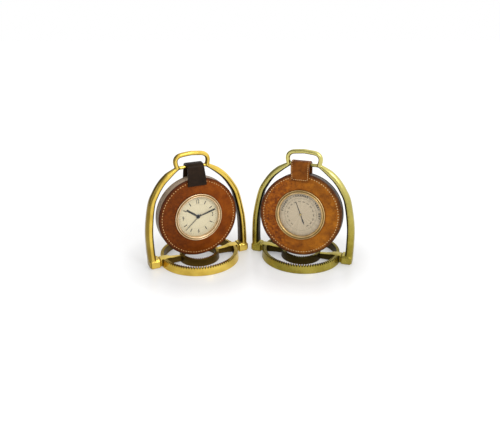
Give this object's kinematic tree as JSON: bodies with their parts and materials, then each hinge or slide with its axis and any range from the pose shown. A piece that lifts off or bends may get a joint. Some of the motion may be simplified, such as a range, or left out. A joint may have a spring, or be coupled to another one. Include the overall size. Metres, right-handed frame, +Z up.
{
  "type": "barometer clock",
  "caption": "Matched desk clock and aneroid barometer, each a leather-covered drum that hangs by a strap in a brass riding stirrup on a ringed tread.",
  "frame": {"origin": "on the floor under the middle of the pair's box", "axes": "+X along the pair from the clock to the barometer, +Y away from the viewer (the dials face about -Y), +Z up"},
  "size_m": [0.2742, 0.1132, 0.1498],
  "materials": {
    "clock_arch": "polished",
    "clock_tread": "polished",
    "clock_strap": "smooth",
    "clock_front_leather": "burnished",
    "clock_side_band": "smooth",
    "clock_rear_leather": "smooth",
    "clock_core": "bare",
    "clock_cup": "polished, pale",
    "clock_bezel": "polished, rose tint",
    "clock_glass": "clear",
    "clock_dial_ring": "polished, rose tint",
    "clock_dial": "matt cream",
    "clock_rear_cover": "polished, rose tint",
    "barometer_arch": "dull, lightly tarnished",
    "barometer_tread": "dull, lightly tarnished",
    "barometer_strap": "mottled, waxed",
    "barometer_front_leather": "mottled, waxed",
    "barometer_side_band": "smooth",
    "barometer_rear_leather": "smooth",
    "barometer_core": "bare",
    "barometer_cup": "polished, pale",
    "barometer_bezel": "polished, pale",
    "barometer_glass": "clear",
    "barometer_dial_ring": "polished, pale",
    "barometer_dial": "satin silver beige",
    "barometer_rear_cover": "polished, pale",
    "clock_movement_base": "moulded",
    "clock_movement_cover": "moulded",
    "clock_button_cell": "bright",
    "clock_front_contact": "bright",
    "clock_rear_contact": "bright",
    "clock_circuit_board": "coated board",
    "clock_stator": "bright",
    "clock_coil": "copper-coloured",
    "clock_hour_wheel": "moulded",
    "clock_cannon_pinion": "moulded",
    "clock_motion_wheel": "moulded",
    "clock_set_knob": "moulded",
    "clock_seconds_wheel": "bright",
    "clock_fifth_wheel": "moulded",
    "clock_rotor": "bright",
    "clock_hour_hand": "navy black",
    "clock_minute_hand": "navy black",
    "clock_seconds_hand": "navy black",
    "barometer_base_plate": "polished, pale",
    "barometer_capsule": "copper-coloured",
    "barometer_main_spring": "bright",
    "barometer_sector": "polished, pale",
    "barometer_rocking_shaft": "bright",
    "barometer_shaft_post_left": "polished, pale",
    "barometer_shaft_post_right": "polished, pale",
    "barometer_pinion_arbor": "bright",
    "barometer_hairspring": "navy black",
    "barometer_top_plate": "polished, pale",
    "barometer_adjusting_screw": "polished, pale",
    "barometer_pointer": "navy black"
  },
  "bodies": {
    "clock_stand": {"clock_arch": "clock_arch", "clock_tread": "clock_tread"},
    "clock_case": {"clock_strap": "clock_strap", "clock_front_leather": "clock_front_leather", "clock_side_band": "clock_side_band", "clock_rear_leather": "clock_rear_leather", "clock_core": "clock_core", "clock_cup": "clock_cup", "clock_bezel": "clock_bezel", "clock_glass": "clock_glass", "clock_dial_ring": "clock_dial_ring", "clock_dial": "clock_dial", "clock_rear_cover": "clock_rear_cover", "clock_movement_base": "clock_movement_base", "clock_movement_cover": "clock_movement_cover", "clock_button_cell": "clock_button_cell", "clock_front_contact": "clock_front_contact", "clock_rear_contact": "clock_rear_contact", "clock_circuit_board": "clock_circuit_board", "clock_stator": "clock_stator", "clock_coil": "clock_coil"},
    "clock_minute": {"clock_cannon_pinion": "clock_cannon_pinion", "clock_minute_hand": "clock_minute_hand"},
    "clock_hour": {"clock_hour_wheel": "clock_hour_wheel", "clock_hour_hand": "clock_hour_hand"},
    "clock_setting": {"clock_motion_wheel": "clock_motion_wheel", "clock_set_knob": "clock_set_knob"},
    "clock_seconds": {"clock_seconds_wheel": "clock_seconds_wheel", "clock_seconds_hand": "clock_seconds_hand"},
    "clock_fifth": {"clock_fifth_wheel": "clock_fifth_wheel"},
    "clock_magnet": {"clock_rotor": "clock_rotor"},
    "barometer_stand": {"barometer_arch": "barometer_arch", "barometer_tread": "barometer_tread"},
    "barometer_case": {"barometer_strap": "barometer_strap", "barometer_front_leather": "barometer_front_leather", "barometer_side_band": "barometer_side_band", "barometer_rear_leather": "barometer_rear_leather", "barometer_core": "barometer_core", "barometer_cup": "barometer_cup", "barometer_bezel": "barometer_bezel", "barometer_glass": "barometer_glass", "barometer_dial_ring": "barometer_dial_ring", "barometer_dial": "barometer_dial", "barometer_rear_cover": "barometer_rear_cover", "barometer_base_plate": "barometer_base_plate", "barometer_capsule": "barometer_capsule", "barometer_main_spring": "barometer_main_spring", "barometer_shaft_post_left": "barometer_shaft_post_left", "barometer_shaft_post_right": "barometer_shaft_post_right", "barometer_hairspring": "barometer_hairspring", "barometer_top_plate": "barometer_top_plate"},
    "barometer_indicator": {"barometer_pinion_arbor": "barometer_pinion_arbor", "barometer_pointer": "barometer_pointer"},
    "barometer_quadrant": {"barometer_sector": "barometer_sector"},
    "barometer_rocker": {"barometer_rocking_shaft": "barometer_rocking_shaft"},
    "barometer_adjuster": {"barometer_adjusting_screw": "barometer_adjusting_screw"}
  },
  "joints": [
    {"name": "clock_swing", "type": "hinge", "parent": "clock_stand", "child": "clock_case", "pos_m": [-0.07182, -0.00368, 0.1297], "axis": [0.9033, 0.4289, 0], "range_deg": [-38, 60]},
    {"name": "minute_turn", "type": "hinge", "parent": "clock_case", "child": "clock_minute", "pos_m": [-0.07182, -0.00368, 0.0625], "axis": [-0.4289, 0.9033, 0], "continuous": true},
    {"name": "hour_turn", "type": "hinge", "parent": "clock_case", "child": "clock_hour", "pos_m": [-0.07182, -0.00368, 0.0625], "axis": [-0.4289, 0.9033, 0], "continuous": true},
    {"name": "set_turn", "type": "hinge", "parent": "clock_case", "child": "clock_setting", "pos_m": [-0.07566, -0.0055, 0.05826], "axis": [-0.4289, 0.9033, 0], "continuous": true},
    {"name": "seconds_turn", "type": "hinge", "parent": "clock_case", "child": "clock_seconds", "pos_m": [-0.07182, -0.00368, 0.0625], "axis": [-0.4289, 0.9033, 0], "continuous": true},
    {"name": "fifth_turn", "type": "hinge", "parent": "clock_case", "child": "clock_fifth", "pos_m": [-0.06806, -0.00189, 0.05833], "axis": [-0.4289, 0.9033, 0], "continuous": true},
    {"name": "rotor_turn", "type": "hinge", "parent": "clock_case", "child": "clock_magnet", "pos_m": [-0.06448, -0.00019, 0.05437], "axis": [-0.4289, 0.9033, 0], "continuous": true},
    {"name": "barometer_lift", "type": "slide", "parent": "clock_stand", "child": "barometer_stand", "axis": [0, 0, 1], "range_m": [0, 0.15]},
    {"name": "barometer_swing", "type": "hinge", "parent": "barometer_stand", "child": "barometer_case", "pos_m": [0.069, 0.00289, 0.1297], "axis": [0.9432, -0.3322, 0], "range_deg": [-30, 68]},
    {"name": "pointer_turn", "type": "hinge", "parent": "barometer_case", "child": "barometer_indicator", "pos_m": [0.066, -0.00564, 0.06533], "axis": [0.3289, 0.934, -0.1392], "range_deg": [-96, 144]},
    {"name": "sector_turn", "type": "hinge", "parent": "barometer_case", "child": "barometer_quadrant", "pos_m": [0.06525, -0.00777, 0.04924], "axis": [0.3289, 0.934, -0.1392], "range_deg": [-12, 8]},
    {"name": "rocker_turn", "type": "hinge", "parent": "barometer_case", "child": "barometer_rocker", "pos_m": [0.06491, -0.00872, 0.04459], "axis": [0.9432, -0.3322, 0], "range_deg": [-3.6, 2.4]},
    {"name": "adjuster_turn", "type": "hinge", "parent": "barometer_case", "child": "barometer_adjuster", "pos_m": [0.06539, -0.00736, 0.05236], "axis": [0.3289, 0.934, -0.1392], "range_deg": [-720, 720]}
  ],
  "couplings": [
    {"joint": "hour_turn", "follows": "minute_turn", "ratio": 0.083333},
    {"joint": "set_turn", "follows": "minute_turn", "ratio": -0.33333},
    {"joint": "fifth_turn", "follows": "seconds_turn", "ratio": -5},
    {"joint": "rotor_turn", "follows": "seconds_turn", "ratio": 30},
    {"joint": "sector_turn", "follows": "pointer_turn", "ratio": -0.083333},
    {"joint": "rocker_turn", "follows": "pointer_turn", "ratio": -0.025}
  ]
}
